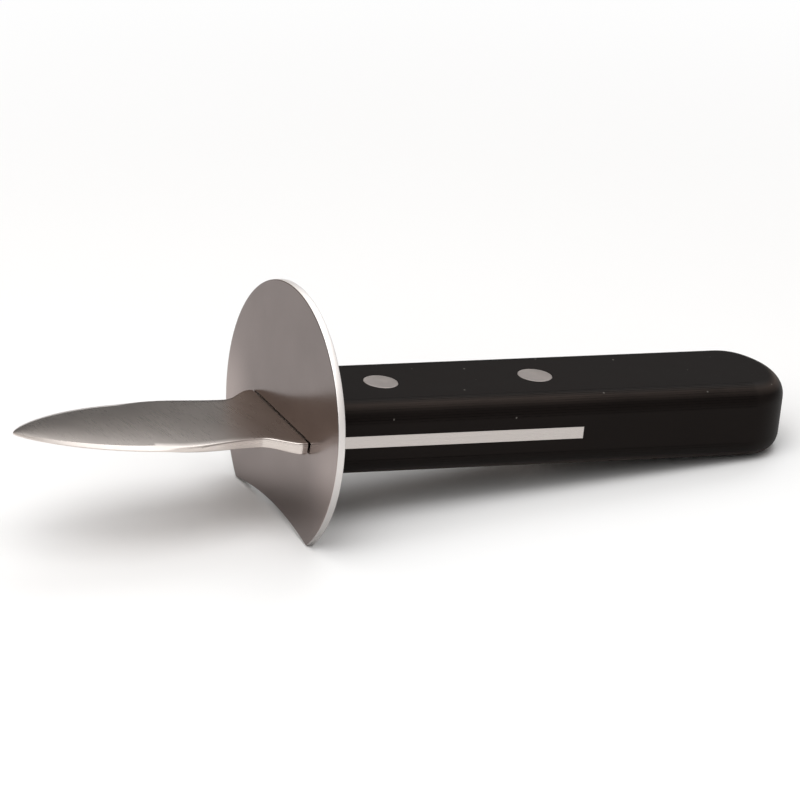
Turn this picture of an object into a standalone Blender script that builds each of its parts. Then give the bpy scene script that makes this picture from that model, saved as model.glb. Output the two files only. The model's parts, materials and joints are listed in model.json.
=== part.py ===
"""Mussel opener: a short leaf blade, an upright steel guard and a slotted black handle on two rivets.

Metres, +Z up. The knife is drawn straight, along X: the guard's front face lies on X = 0, the blade points
to -X and the handle to +X, and the steel plate's middle plane is Z = 0. An empty then lays the knife down
as it rests on a table, on the guard's two lower corners and on the rounded butt of the handle.
"""

import math

import bmesh
import bpy

MM = 0.001
FIT_GAP = 0.3 * MM

# One steel plate: the blade in front of the guard, the tang behind it
PLATE_THICKNESS = 2.5 * MM
BLADE_LENGTH = 58.0 * MM
TIP_LENGTH = 0.14 * MM
LEAF_HALF_WIDTH = 13.0 * MM
LEAF_WIDEST_X = -26.3 * MM
LEAF_FULLNESS = 0.74
WAIST_HALF_WIDTH = 10.9 * MM
WAIST_X = -8.4 * MM
FLARE_HALF_WIDTH = 15.1 * MM
FLARE_X = -1.4 * MM
FLARE_WAVE_SHARE = 0.9
TANG_END_X = 61.8 * MM

# Grinding of the blade: thinner faces that fall to both sides, a bevel on the leaf, a square edge behind it
GROUND_THICKNESS = 2.2 * MM
GRINDING_END_X = -2.0 * MM
FACE_FALL = 0.042
FALL_START_X = -38.0 * MM
FALL_END_X = -1.5 * MM
EDGE_THICKNESS = 0.24 * MM
BEVEL_ANGLE = math.radians(15.0)
TIP_BEVEL_ANGLE = math.radians(19.0)
SQUARE_EDGE_START_X = -31.3 * MM
SQUARE_EDGE_END_X = -12.0 * MM
SQUARE_EDGE_BREAK = 0.3 * MM
LEAST_BREAK = 0.06 * MM

# Guard: an oval plate with an arch cut into its foot
GUARD_THICKNESS = 1.6 * MM
GUARD_HALF_WIDTH = 29.2 * MM
GUARD_HALF_HEIGHT = 27.3 * MM
GUARD_CENTRE_Z = 1.4 * MM
GUARD_FOOT_HALF_SPAN = 18.9 * MM
GUARD_ARCH_RISE = 2.0 * MM
GUARD_EDGE_BREAK = 0.15 * MM
GUARD_SLOT_GAP = 0.4 * MM

# Handle block
HANDLE_END_X = 111.1 * MM
HANDLE_HALF_WIDTH = 12.9 * MM
HANDLE_HALF_THICKNESS = 7.85 * MM
HANDLE_EDGE_RADIUS = 4.1 * MM
HANDLE_CORNER_RADIUS = 8.8 * MM
HANDLE_END_RADIUS = 16.0 * MM

# Two-part rivets, a post pressed into a sleeve
RIVET_XS = {"front": 21.2 * MM, "rear": 55.6 * MM}
RIVET_HEAD_RADIUS = 3.6 * MM
RIVET_HEAD_THICKNESS = 1.2 * MM
SLEEVE_RADIUS = 2.5 * MM
POST_RADIUS = 1.4 * MM

# How finely round shapes are drawn
LEAF_STATIONS = 22
TIP_CROWDING = 1.8
NECK_STATIONS = 34
FACE_STRIPS = 6
EDGE_POINTS = 2
GUARD_SEGMENTS = 96
ARCH_SEGMENTS = 18
CORNER_SEGMENTS = 10
EDGE_SEGMENTS = 7
RIVET_SEGMENTS = 40

# How far a cutter reaches past what it cuts
CUTTER_REACH = 2.0 * MM

# Edges that turn more than this stay sharp, and points nearer than this are one
SHARP_ANGLE = math.radians(28)
MERGE_DISTANCE = 0.001 * MM

HALF_PLATE = PLATE_THICKNESS / 2
TANG_HALF_WIDTH = HANDLE_HALF_WIDTH
HANDLE_FRONT_X = GUARD_THICKNESS + FIT_GAP


# Blade outline and section

def clamped(value):
    return min(max(value, 0.0), 1.0)


def eased(start, end, x):
    """0 up to start and 1 from end on, level at both."""
    return 0.5 - 0.5 * math.cos(math.pi * clamped((x - start) / (end - start)))


def leaf_swell(x):
    """0 at the tip and 1 from the leaf's widest place on, rising as a parabola."""
    rest = 1.0 - clamped((x + BLADE_LENGTH) / (LEAF_WIDEST_X + BLADE_LENGTH))
    return 1.0 - rest * rest


def blade_half_width(x):
    leaf = LEAF_HALF_WIDTH * leaf_swell(x) ** LEAF_FULLNESS
    waist = (LEAF_HALF_WIDTH - WAIST_HALF_WIDTH) * eased(LEAF_WIDEST_X, WAIST_X, x)
    wave = math.pi * FLARE_WAVE_SHARE
    along = clamped((x - WAIST_X) / (FLARE_X - WAIST_X))
    flare = (FLARE_HALF_WIDTH - WAIST_HALF_WIDTH) * (1.0 - math.cos(wave * along)) / (1.0 - math.cos(wave))
    return leaf - waist + flare


def squareness(x):
    """0 where the edge is ground thin, 1 where it is as thick as the blade."""
    share = clamped((x - SQUARE_EDGE_START_X) / (SQUARE_EDGE_END_X - SQUARE_EDGE_START_X))
    return math.sin(0.5 * math.pi * share)


def blade_section(x):
    """The section's upper half from the near edge to the far edge, as (y, z).

    EDGE_POINTS points, the edge and the crest, lie on each side of the face's own points.
    """
    width = blade_half_width(x)
    swell = leaf_swell(x)
    square = squareness(x)
    thin = EDGE_THICKNESS / 2
    body = GROUND_THICKNESS / 2
    body += (HALF_PLATE - body) * eased(GRINDING_END_X, -FIT_GAP, x)
    spine = thin + (body - thin) * math.sqrt(swell)
    crest = max(spine - FACE_FALL * width * (1.0 - eased(FALL_START_X, FALL_END_X, x)), thin + LEAST_BREAK)
    rounding = SQUARE_EDGE_BREAK * square
    edge = thin + (crest - rounding - thin) * square
    slope = BEVEL_ANGLE + (TIP_BEVEL_ANGLE - BEVEL_ANGLE) * (1.0 - swell)
    bevel = (crest - edge) / math.tan(slope)
    crest_width = width - max(bevel + (rounding - bevel) * square, LEAST_BREAK)
    face_width = crest_width * TANG_HALF_WIDTH / (FLARE_HALF_WIDTH - SQUARE_EDGE_BREAK)
    points = [(-width, edge), (-crest_width, crest)]
    for strip in range(FACE_STRIPS + 1):
        y = face_width * (2.0 * strip / FACE_STRIPS - 1.0)
        points.append((y, spine - (spine - crest) * (y / crest_width) ** 2))
    points += [(crest_width, crest), (width, edge)]
    return points


def blade_stations():
    """Places along the blade, closer together towards the tip."""
    first = TIP_LENGTH - BLADE_LENGTH
    base = -FIT_GAP
    shares = [(i / LEAF_STATIONS) ** TIP_CROWDING for i in range(LEAF_STATIONS)]
    leaf = [first + (LEAF_WIDEST_X - first) * share for share in shares]
    neck = [LEAF_WIDEST_X + (base - LEAF_WIDEST_X) * i / NECK_STATIONS for i in range(NECK_STATIONS)]
    return leaf + neck + [base]


# Mesh helpers

def finished(bm, name, material, parent):
    """The bmesh as an object with outward faces, smooth but for its sharp edges."""
    bmesh.ops.recalc_face_normals(bm, faces=bm.faces)
    mesh = bpy.data.meshes.new(name)
    bm.to_mesh(mesh)
    bm.free()
    mesh.shade_smooth()
    mesh.set_sharp_from_angle(angle=SHARP_ANGLE)
    obj = bpy.data.objects.new(name, mesh)
    bpy.context.scene.collection.objects.link(obj)
    obj.parent = parent
    if material:
        mesh.materials.append(material)
    return obj


def extruded(outline, along):
    """A closed outline of (x, y, z) points, swept by the vector."""
    bm = bmesh.new()
    face = bm.faces.new([bm.verts.new(point) for point in outline])
    swept = bmesh.ops.extrude_face_region(bm, geom=[face], use_keep_orig=True)
    moved = [item for item in swept["geom"] if isinstance(item, bmesh.types.BMVert)]
    bmesh.ops.translate(bm, vec=along, verts=moved)
    return bm


def turned(profile, centre_x):
    """A closed profile of (radius, z) points, turned about the vertical line at centre_x."""
    bm = bmesh.new()
    verts = [bm.verts.new((centre_x + radius, 0.0, z)) for radius, z in profile]
    edges = [bm.edges.new(pair) for pair in zip(verts, verts[1:])]
    bmesh.ops.spin(
        bm,
        geom=verts + edges,
        cent=(centre_x, 0.0, 0.0),
        axis=(0.0, 0.0, 1.0),
        angle=2.0 * math.pi,
        steps=RIVET_SEGMENTS,
        use_merge=True,
    )
    bmesh.ops.remove_doubles(bm, verts=bm.verts, dist=MERGE_DISTANCE)
    return bm


def arc(centre, radius, start, end, segments):
    """Points on an arc in the plane, the angles in degrees."""
    points = []
    for i in range(segments + 1):
        angle = math.radians(start + (end - start) * i / segments)
        points.append((centre[0] + radius * math.cos(angle), centre[1] + radius * math.sin(angle)))
    return points


def box_cutter(name, low, high, parent):
    bm = bmesh.new()
    bmesh.ops.create_cube(bm, size=1.0)
    for vert in bm.verts:
        vert.co = [a + (b - a) * (share + 0.5) for a, b, share in zip(low, high, vert.co)]
    return as_cutter(finished(bm, name, None, parent))


def as_cutter(obj):
    obj.hide_render = True
    obj.display_type = "WIRE"
    return obj


def cut(obj, cutter):
    modifier = obj.modifiers.new("cut " + cutter.name, "BOOLEAN")
    modifier.operation = "DIFFERENCE"
    modifier.solver = "EXACT"
    modifier.object = cutter


def new_material(name, colour, roughness, metallic):
    material = bpy.data.materials.new(name)
    material.use_nodes = True
    shader = material.node_tree.nodes["Principled BSDF"]
    shader.inputs["Base Color"].default_value = (*colour, 1.0)
    shader.inputs["Roughness"].default_value = roughness
    shader.inputs["Metallic"].default_value = metallic
    return material


# Sub-parts

def blade_and_tang(parent):
    """The whole steel plate: a ring of points at each station, a square shoulder, then the plain tang."""
    bm = bmesh.new()
    rings = []
    for x in blade_stations():
        upper = blade_section(x)
        lower = [(y, -z) for y, z in reversed(upper)]
        rings.append([bm.verts.new((x, y, z)) for y, z in upper + lower])
    for ring, following in zip(rings, rings[1:]):
        for i in range(len(ring)):
            j = (i + 1) % len(ring)
            bm.faces.new((ring[i], ring[j], following[j], following[i]))
    bm.faces.new(rings[0])

    base = rings[-1]
    half = len(base) // 2
    far_shoulder = base[half - EDGE_POINTS - 1:half + EDGE_POINTS + 1]
    near_shoulder = base[-EDGE_POINTS - 1:] + base[:EDGE_POINTS + 1]
    bm.faces.new(far_shoulder)
    bm.faces.new(near_shoulder)
    root = base[EDGE_POINTS:half - EDGE_POINTS] + base[half + EDGE_POINTS:-EDGE_POINTS]
    tail = [bm.verts.new((TANG_END_X, vert.co.y, vert.co.z)) for vert in root]
    for i in range(len(root)):
        j = (i + 1) % len(root)
        bm.faces.new((root[i], root[j], tail[j], tail[i]))
    bm.faces.new(tail)
    material = new_material("ground_steel", (0.55, 0.53, 0.50), 0.32, 1.0)
    return finished(bm, "blade_and_tang", material, parent)


def guard_foot_z():
    """Height of the guard's two lower corners, where the oval ends."""
    share = GUARD_FOOT_HALF_SPAN / GUARD_HALF_WIDTH
    return GUARD_CENTRE_Z - GUARD_HALF_HEIGHT * math.sqrt(1.0 - share * share)


def guard_outline():
    """The oval from corner to corner over the top, then the arch under the foot, as (y, z)."""
    corner = math.asin(GUARD_FOOT_HALF_SPAN / GUARD_HALF_WIDTH)
    points = []
    for i in range(GUARD_SEGMENTS + 1):
        turn = corner + (2.0 * math.pi - 2.0 * corner) * i / GUARD_SEGMENTS
        y = GUARD_HALF_WIDTH * math.sin(turn)
        points.append((y, GUARD_CENTRE_Z - GUARD_HALF_HEIGHT * math.cos(turn)))
    radius = (GUARD_FOOT_HALF_SPAN**2 + GUARD_ARCH_RISE**2) / (2.0 * GUARD_ARCH_RISE)
    centre = (0.0, guard_foot_z() + GUARD_ARCH_RISE - radius)
    half_turn = math.degrees(math.asin(GUARD_FOOT_HALF_SPAN / radius))
    arch = arc(centre, radius, 90.0 + half_turn, 90.0 - half_turn, ARCH_SEGMENTS)
    return points + arch[1:-1]


def guard_plate(parent):
    """The oval plate with its edges broken and a slot for the tang."""
    bm = extruded([(0.0, y, z) for y, z in guard_outline()], (GUARD_THICKNESS, 0.0, 0.0))
    rims = []
    for edge in bm.edges:
        first, second = (vert.co for vert in edge.verts)
        if abs(first.x - second.x) < GUARD_EDGE_BREAK:
            rims.append(edge)
    bmesh.ops.bevel(
        bm,
        geom=rims,
        offset=GUARD_EDGE_BREAK,
        segments=1,
        profile=0.5,
        affect="EDGES",
        material=-1,
    )
    material = new_material("guard_steel", (0.58, 0.55, 0.52), 0.28, 1.0)
    guard = finished(bm, "guard_plate", material, parent)
    slot_y = TANG_HALF_WIDTH + FIT_GAP
    slot_z = HALF_PLATE + GUARD_SLOT_GAP
    low = (-CUTTER_REACH, -slot_y, -slot_z)
    high = (GUARD_THICKNESS + CUTTER_REACH, slot_y, slot_z)
    cut(guard, box_cutter("guard_slot_cutter", low, high, parent))
    return guard


def handle_outline():
    """The block from above: a straight front, parallel sides and a bowed end with round corners."""
    end_x = HANDLE_END_X - HANDLE_END_RADIUS
    corner_y = HANDLE_HALF_WIDTH - HANDLE_CORNER_RADIUS
    between = HANDLE_END_RADIUS - HANDLE_CORNER_RADIUS
    corner_x = end_x + math.sqrt(between**2 - corner_y**2)
    turn = math.degrees(math.asin(corner_y / between))
    near = arc((corner_x, -corner_y), HANDLE_CORNER_RADIUS, -90.0, -turn, CORNER_SEGMENTS)
    end = arc((end_x, 0.0), HANDLE_END_RADIUS, -turn, turn, CORNER_SEGMENTS)
    far = arc((corner_x, corner_y), HANDLE_CORNER_RADIUS, turn, 90.0, CORNER_SEGMENTS)
    front = [(HANDLE_FRONT_X, HANDLE_HALF_WIDTH), (HANDLE_FRONT_X, -HANDLE_HALF_WIDTH)]
    return near + end[1:-1] + far + front


def handle_block(parent):
    """A block with rounded long edges, a bowed butt and a square front, slotted from the front."""
    floor = [(x, y, -HANDLE_HALF_THICKNESS) for x, y in handle_outline()]
    bm = extruded(floor, (0.0, 0.0, 2.0 * HANDLE_HALF_THICKNESS))
    rims = []
    for edge in bm.edges:
        first, second = (vert.co for vert in edge.verts)
        level = abs(first.z - second.z) < HANDLE_HALF_THICKNESS
        front = max(first.x, second.x) < HANDLE_FRONT_X + FIT_GAP
        if level and not front:
            rims.append(edge)
    bmesh.ops.bevel(
        bm,
        geom=rims,
        offset=HANDLE_EDGE_RADIUS,
        segments=EDGE_SEGMENTS,
        profile=0.5,
        affect="EDGES",
        material=-1,
    )
    material = new_material("black_plastic", (0.022, 0.020, 0.019), 0.42, 0.0)
    handle = finished(bm, "handle_block", material, parent)
    side = HANDLE_HALF_WIDTH + CUTTER_REACH
    gap = HALF_PLATE + FIT_GAP
    low = (HANDLE_FRONT_X - CUTTER_REACH, -side, -gap)
    high = (TANG_END_X + FIT_GAP, side, gap)
    cut(handle, box_cutter("handle_slot_cutter", low, high, parent))
    return handle


def rivet_hole_cutter(name, centre_x, parent):
    """The hole through handle and tang, with a counterbore for the head at either end."""
    hole = SLEEVE_RADIUS + FIT_GAP
    counterbore = RIVET_HEAD_RADIUS + FIT_GAP
    top = HANDLE_HALF_THICKNESS + CUTTER_REACH
    seat = HANDLE_HALF_THICKNESS - RIVET_HEAD_THICKNESS - FIT_GAP
    profile = [
        (0.0, top),
        (counterbore, top),
        (counterbore, seat),
        (hole, seat),
        (hole, -seat),
        (counterbore, -seat),
        (counterbore, -top),
        (0.0, -top),
    ]
    return as_cutter(finished(turned(profile, centre_x), name, None, parent))


def rivet_sleeve(name, centre_x, material, parent):
    """The lower half: a flush head and a tube whose bore is open at the top."""
    foot = -HANDLE_HALF_THICKNESS
    head_top = foot + RIVET_HEAD_THICKNESS
    rim = HANDLE_HALF_THICKNESS - RIVET_HEAD_THICKNESS - FIT_GAP
    bore = POST_RADIUS + FIT_GAP
    profile = [
        (0.0, head_top),
        (bore, head_top),
        (bore, rim),
        (SLEEVE_RADIUS, rim),
        (SLEEVE_RADIUS, head_top),
        (RIVET_HEAD_RADIUS, head_top),
        (RIVET_HEAD_RADIUS, foot),
        (0.0, foot),
    ]
    return finished(turned(profile, centre_x), name, material, parent)


def rivet_post(name, centre_x, material, parent):
    """The upper half: a flush head and a solid pin that stops short of the sleeve's floor."""
    top = HANDLE_HALF_THICKNESS
    head_floor = top - RIVET_HEAD_THICKNESS
    tip = RIVET_HEAD_THICKNESS + FIT_GAP - HANDLE_HALF_THICKNESS
    profile = [
        (0.0, top),
        (RIVET_HEAD_RADIUS, top),
        (RIVET_HEAD_RADIUS, head_floor),
        (POST_RADIUS, head_floor),
        (POST_RADIUS, tip),
        (0.0, tip),
    ]
    return finished(turned(profile, centre_x), name, material, parent)


# Resting attitude

def rest_angle():
    """How far the handle dips, so that the guard's two corners and the butt's lower edge touch the table."""
    foot_x = GUARD_THICKNESS - GUARD_EDGE_BREAK
    along = HANDLE_END_X - HANDLE_EDGE_RADIUS - foot_x
    across = -guard_foot_z() - (HANDLE_HALF_THICKNESS - HANDLE_EDGE_RADIUS)
    return math.acos(HANDLE_EDGE_RADIUS / math.hypot(along, across)) - math.atan2(along, across)


def rest_place(angle):
    """Where the guard's front centre lies, with the box of the laid knife centred over the origin."""
    foot_x = GUARD_THICKNESS - GUARD_EDGE_BREAK
    lift = foot_x * math.sin(angle) - guard_foot_z() * math.cos(angle)
    tip_x = -BLADE_LENGTH * math.cos(angle)
    butt_x = HANDLE_EDGE_RADIUS + (HANDLE_END_X - HANDLE_EDGE_RADIUS) * math.cos(angle)
    butt_x += (HANDLE_HALF_THICKNESS - HANDLE_EDGE_RADIUS) * math.sin(angle)
    return (-(tip_x + butt_x) / 2.0, 0.0, lift)


def main():
    for obj in list(bpy.data.objects):
        bpy.data.objects.remove(obj, do_unlink=True)

    knife = bpy.data.objects.new("knife", None)
    bpy.context.scene.collection.objects.link(knife)
    angle = rest_angle()
    knife.rotation_euler = (0.0, angle, 0.0)
    knife.location = rest_place(angle)

    blade = blade_and_tang(knife)
    guard_plate(knife)
    handle = handle_block(knife)
    rivet_steel = new_material("rivet_steel", (0.52, 0.50, 0.48), 0.35, 1.0)
    for end, centre_x in RIVET_XS.items():
        hole = rivet_hole_cutter(end + "_rivet_hole_cutter", centre_x, knife)
        cut(blade, hole)
        cut(handle, hole)
        rivet_post(end + "_rivet_post", centre_x, rivet_steel, knife)
        rivet_sleeve(end + "_rivet_sleeve", centre_x, rivet_steel, knife)


main()
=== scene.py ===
"""The looks of a mussel opener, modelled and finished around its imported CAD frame.

Metres, +Z up. Each piece is modelled on a straight knife: the guard's front face lies on X = 0, the blade
points to -X, the handle to +X, and the steel plate's middle plane is Z = 0. Its mesh is then laid down as
the CAD knife lies, on the guard's two lower corners and the butt.
"""

import json
import math

import bmesh
import bpy
from bpy.props import FloatProperty, FloatVectorProperty, PointerProperty
from mathutils import Matrix, Vector

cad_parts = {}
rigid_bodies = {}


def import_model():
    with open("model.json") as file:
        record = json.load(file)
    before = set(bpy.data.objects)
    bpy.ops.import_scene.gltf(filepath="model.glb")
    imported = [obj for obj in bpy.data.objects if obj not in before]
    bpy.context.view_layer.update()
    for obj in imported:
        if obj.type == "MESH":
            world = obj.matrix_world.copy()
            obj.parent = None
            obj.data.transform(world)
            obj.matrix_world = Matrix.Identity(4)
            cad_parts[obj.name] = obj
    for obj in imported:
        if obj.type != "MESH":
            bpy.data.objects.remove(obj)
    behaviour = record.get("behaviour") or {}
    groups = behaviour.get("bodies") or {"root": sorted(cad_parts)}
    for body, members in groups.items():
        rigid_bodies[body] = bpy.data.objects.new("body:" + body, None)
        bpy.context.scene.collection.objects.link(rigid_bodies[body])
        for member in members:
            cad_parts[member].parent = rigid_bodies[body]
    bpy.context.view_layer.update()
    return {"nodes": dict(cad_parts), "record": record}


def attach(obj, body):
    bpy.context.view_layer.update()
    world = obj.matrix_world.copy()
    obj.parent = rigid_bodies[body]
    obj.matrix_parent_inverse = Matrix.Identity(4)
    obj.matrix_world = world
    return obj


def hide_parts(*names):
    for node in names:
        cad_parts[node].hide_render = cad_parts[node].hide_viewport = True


bl_info = {
    "name": "Mussel opener",
    "version": (1, 0, 0),
    "blender": (4, 5, 0),
    "location": "3D View > Sidebar > Mussel opener",
    "description": "Models and finishes the blade, guard, handle and rivets of a mussel opener",
    "category": "Object",
}

MM = 0.001
ALONG = (1.0, 0.0, 0.0)
UP = (0.0, 0.0, 1.0)


def clear_start_up_scene():
    for obj in list(bpy.data.objects):
        bpy.data.objects.remove(obj, do_unlink=True)


clear_start_up_scene()
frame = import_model()


# Where the CAD knife lies, and its sizes along its own axes

def laying_turn():
    """The turn that lays the straight knife down, read from the flat underside of the handle."""
    axes = {mount["name"]: mount["axis"] for mount in frame["record"]["mounts"]}
    down = axes["handle_underside"]
    return Matrix.Rotation(math.atan2(-down[0], -down[2]), 4, "Y")


def extent(node, axes):
    """Lowest and highest corner of a CAD node along the knife's own axes."""
    back = axes.inverted()
    points = [back @ vert.co for vert in frame["nodes"][node].data.vertices]
    low = Vector([min(point[i] for point in points) for i in range(3)])
    high = Vector([max(point[i] for point in points) for i in range(3)])
    return low, high


def laying_matrix():
    """The laying turn, about the middle of the plate at the guard's front face."""
    turn = laying_turn()
    blade_low, blade_high = extent("blade_and_tang", turn)
    guard_low, _ = extent("guard_plate", turn)
    return turn @ Matrix.Translation((guard_low.x, 0.0, (blade_low.z + blade_high.z) / 2.0))


LAID = laying_matrix()
BLADE_LOW, BLADE_HIGH = extent("blade_and_tang", LAID)
GUARD_LOW, GUARD_HIGH = extent("guard_plate", LAID)
_, HANDLE_HIGH = extent("handle_block", LAID)
FRONT_RIVET_LOW, FRONT_RIVET_HIGH = extent("front_rivet_post", LAID)
REAR_RIVET_LOW, REAR_RIVET_HIGH = extent("rear_rivet_post", LAID)
FRONT_RIVET_X = (FRONT_RIVET_LOW.x + FRONT_RIVET_HIGH.x) / 2.0
REAR_RIVET_X = (REAR_RIVET_LOW.x + REAR_RIVET_HIGH.x) / 2.0

# Clearances: the guard's slot and the blade's shoulder show theirs, the other seats look closed
SLOT_GAP = 0.32 * MM
SIDE_GAP = 0.3 * MM
SHOULDER_GAP = 0.3 * MM
SEAT_GAP = 0.04 * MM


# Settings

LENGTH_DIGITS = 5


def number(name, description, default, **limits):
    return FloatProperty(name=name, description=description, default=default, **limits)


def length(name, description, default):
    return number(name, description, default, min=0.0, unit="LENGTH", precision=LENGTH_DIGITS)


def place(name, description, default):
    return number(name, description, default, unit="LENGTH", precision=LENGTH_DIGITS)


def angle(name, description, degrees):
    return number(name, description, math.radians(degrees), subtype="ANGLE")


def share(name, description, default):
    return number(name, description, default, min=0.0, max=1.0, subtype="FACTOR")


def colour(name, description, default):
    return FloatVectorProperty(
        name=name, description=description, default=default, min=0.0, max=1.0, subtype="COLOR"
    )


class BladeSettings(bpy.types.PropertyGroup):
    tip_x: place("Tip", "Where the blade ends in front of the guard", BLADE_LOW.x)
    shoulder_half_width: length("Shoulder half width", "Half the blade's width at the guard", BLADE_HIGH.y)
    half_thickness: length("Half thickness", "Half the steel plate's thickness", BLADE_HIGH.z)
    ground_half_thickness: length("Ground half thickness", "Half the ground blade's thickness", 1.1 * MM)
    grinding_end_x: place("Grinding end", "Where the ground blade starts to thicken", -6.0 * MM)
    tang_end_x: place("Tang end", "Where the tang ends inside the handle", BLADE_HIGH.x)
    tang_half_width: length("Tang half width", "Half the tang's width, as the handle's", HANDLE_HIGH.y)
    leaf_half_width: length("Leaf half width", "Half the leaf's greatest width", 13.0 * MM)
    leaf_widest_x: place("Leaf's widest place", "Where the leaf is widest", -26.3 * MM)
    leaf_keenness: share("Leaf keenness", "How pointed the leaf is, from 0 for blunt to 1 for keen", 0.74)
    waist_half_width: length("Waist half width", "Half the width of the neck behind the leaf", 10.9 * MM)
    waist_x: place("Waist place", "Where the neck is narrowest", -8.4 * MM)
    flare_x: place("Flare end", "Where the neck has widened to the shoulder", -1.4 * MM)
    edge_thickness: length("Edge thickness", "Thickness of the leaf's dull edge", 0.24 * MM)
    bevel_angle: angle("Bevel angle", "Slope of the ground bevel where the leaf is widest", 15.0)
    tip_bevel_angle: angle("Tip bevel angle", "Slope of the ground bevel at the tip", 19.0)
    face_fall: share("Face fall", "Fall of the face from middle to bevel, as a share of half width", 0.042)
    fall_start_x: place("Fall start", "Where the leaf's face stops falling off fully", -38.0 * MM)
    fall_end_x: place("Fall end", "Where the blade's face is flat across", -1.5 * MM)
    square_start_x: place("Square edge start", "Where the edge starts to thicken", -31.3 * MM)
    square_end_x: place("Square edge end", "Where the edge is as thick as the blade", -12.0 * MM)
    square_rounding: length("Square edge rounding", "Rounding of the square edge's corners", 0.3 * MM)
    face_colour: colour("Face colour", "Ground faces of the blade", (0.550, 0.495, 0.460))
    edge_colour: colour("Edge colour", "Sheared edges in front of the guard", (0.700, 0.630, 0.585))
    tang_colour: colour("Tang colour", "Edges of the tang, ground with the handle", (0.530, 0.490, 0.465))


class GuardSettings(bpy.types.PropertyGroup):
    thickness: length("Thickness", "Thickness of the guard's plate", GUARD_HIGH.x)
    half_width: length("Half width", "Half the oval's width", GUARD_HIGH.y)
    top_z: place("Top", "Height of the oval's top over the blade's middle plane", GUARD_HIGH.z)
    foot_z: place("Foot", "Height of the two lower corners", GUARD_LOW.z)
    foot_half_span: length("Foot half span", "Half the distance between the two lower corners", 18.9 * MM)
    arch_rise: length("Arch rise", "How far the arch under the foot rises over the corners", 2.0 * MM)
    edge_radius: length("Edge radius", "Rounding of the plate's edges", 0.2 * MM)
    # Painted shade and highlight: the face colour is darker than the steel is, and the rim colour far
    # lighter
    face_colour: colour("Face colour", "Satin faces of the guard", (0.232, 0.197, 0.187))
    rim_highlight_colour: colour("Rim colour", "Bright rim of the guard", (0.970, 0.930, 0.905))


class HandleSettings(bpy.types.PropertyGroup):
    end_x: place("Butt", "Where the handle ends", HANDLE_HIGH.x)
    half_width: length("Half width", "Half the handle's width", HANDLE_HIGH.y)
    half_thickness: length("Half thickness", "Half the handle's thickness", HANDLE_HIGH.z)
    edge_radius: length("Edge radius", "Rounding of the handle's long edges", 4.1 * MM)
    corner_radius: length("Corner radius", "Rounding of the butt's two corners, seen from above", 8.8 * MM)
    end_radius: length("End radius", "Bow of the butt, seen from above", 16.0 * MM)
    front_break: length("Front edge break", "Rounding of the edges at the front", 0.3 * MM)
    colour: colour("Colour", "Black moulded plastic", (0.0065, 0.0048, 0.0043))
    # Painted highlight: the edge colour lightens the long rounded edges where light catches them, more at
    # the butt
    edge_colour: colour("Edge colour", "Long edges, worn lighter by the hand", (0.0330, 0.0250, 0.0215))


class RivetSettings(bpy.types.PropertyGroup):
    front_x: place("Front rivet", "Where the front rivet sits", FRONT_RIVET_X)
    rear_x: place("Rear rivet", "Where the rear rivet sits", REAR_RIVET_X)
    head_radius: length("Head radius", "Radius of the flush heads", FRONT_RIVET_HIGH.y)
    head_thickness: length("Head thickness", "Thickness of the flush heads", 1.2 * MM)
    head_break: length("Head edge break", "Rounding of the heads' rims", 0.1 * MM)
    sleeve_radius: length("Sleeve radius", "Outer radius of the lower half's tube", 2.5 * MM)
    post_radius: length("Post radius", "Radius of the upper half's pin", 1.4 * MM)
    colour: colour("Colour", "Ground rivet heads", (0.585, 0.525, 0.495))


class StageSettings(bpy.types.PropertyGroup):
    floor_radius: length("Floor radius", "Radius of the round floor", 3.0)
    floor_colour: colour("Floor colour", "Plain pale floor", (0.92, 0.92, 0.92))
    room_colour: colour("Room colour", "Tint of the room around the floor", (1.0, 0.985, 0.97))
    key_power: number("Key power", "Power of the soft box overhead", 3.8)
    key_size: length("Key size", "Side of the square soft box overhead", 0.8)
    fill_power: number("Fill power", "Power of the soft box at the near left", 5.0)
    fill_size: length("Fill size", "Side of the square soft box at the near left", 0.9)


# Meshes

CUTTER_REACH = 2.0 * MM
MERGE_DISTANCE = 0.001 * MM
NO_MERGE = -1.0
SHARP_ANGLE = math.radians(32)
ROUND_PROFILE = 0.5
SMALL_ROUNDING_STEPS = 3

# A face looks along an axis where more than this share of its normal lies along it
LOOKS_ALONG = 0.9999


def mark_smooth(bm):
    """Smooth faces, with an edge left sharp where the faces turn more than the sharp angle."""
    for face in bm.faces:
        face.smooth = True
    for edge in bm.edges:
        if len(edge.link_faces) == 2 and edge.calc_face_angle() > SHARP_ANGLE:
            edge.smooth = False


def flatten_faces(bm, axis):
    """Flat shading for the faces that look along one axis, so that the rims round them don't shade them."""
    for face in bm.faces:
        if abs(getattr(face.normal, axis)) > LOOKS_ALONG:
            face.smooth = False


def carved(bm, cutters):
    """The bmesh with the cutters' shapes taken out of it, all as one new bmesh."""
    scratch = []
    for part in [bm, *cutters]:
        bmesh.ops.recalc_face_normals(part, faces=part.faces)
        mesh = bpy.data.meshes.new("carving")
        part.to_mesh(mesh)
        part.free()
        obj = bpy.data.objects.new("carving", mesh)
        bpy.context.scene.collection.objects.link(obj)
        scratch.append(obj)
    for cutter in scratch[1:]:
        modifier = scratch[0].modifiers.new("cut", "BOOLEAN")
        modifier.operation = "DIFFERENCE"
        modifier.solver = "EXACT"
        modifier.object = cutter
    carving = scratch[0].evaluated_get(bpy.context.evaluated_depsgraph_get())
    result = bmesh.new()
    result.from_mesh(carving.to_mesh())
    carving.to_mesh_clear()
    for obj in scratch:
        mesh = obj.data
        bpy.data.objects.remove(obj)
        bpy.data.meshes.remove(mesh)
    return result


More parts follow.
